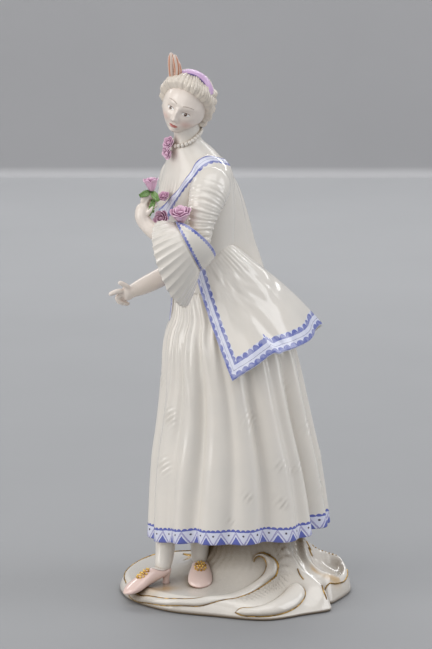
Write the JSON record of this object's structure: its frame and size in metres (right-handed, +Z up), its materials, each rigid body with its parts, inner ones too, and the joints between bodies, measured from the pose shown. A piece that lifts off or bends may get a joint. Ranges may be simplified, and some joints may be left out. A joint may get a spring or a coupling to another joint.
{
  "type": "porcelain lady figurine",
  "caption": "Glazed porcelain statuette of a lady in a short jacket and long petticoat, holding flowers, standing on a scrolled rococo base.",
  "frame": {"origin": "middle of the base's flat underside", "axes": "+Z up; the reference view looks along +Y with +X to the right, and the lady faces between -X and -Y"},
  "size_m": [0.0891, 0.0736, 0.2003],
  "materials": {
    "porcelain": "clear-glazed hard-paste porcelain with blue, lilac, pink and green overglaze enamels and burnished gilding"
  },
  "bodies": {
    "root": {"figurine": "porcelain"}
  },
  "joints": []
}
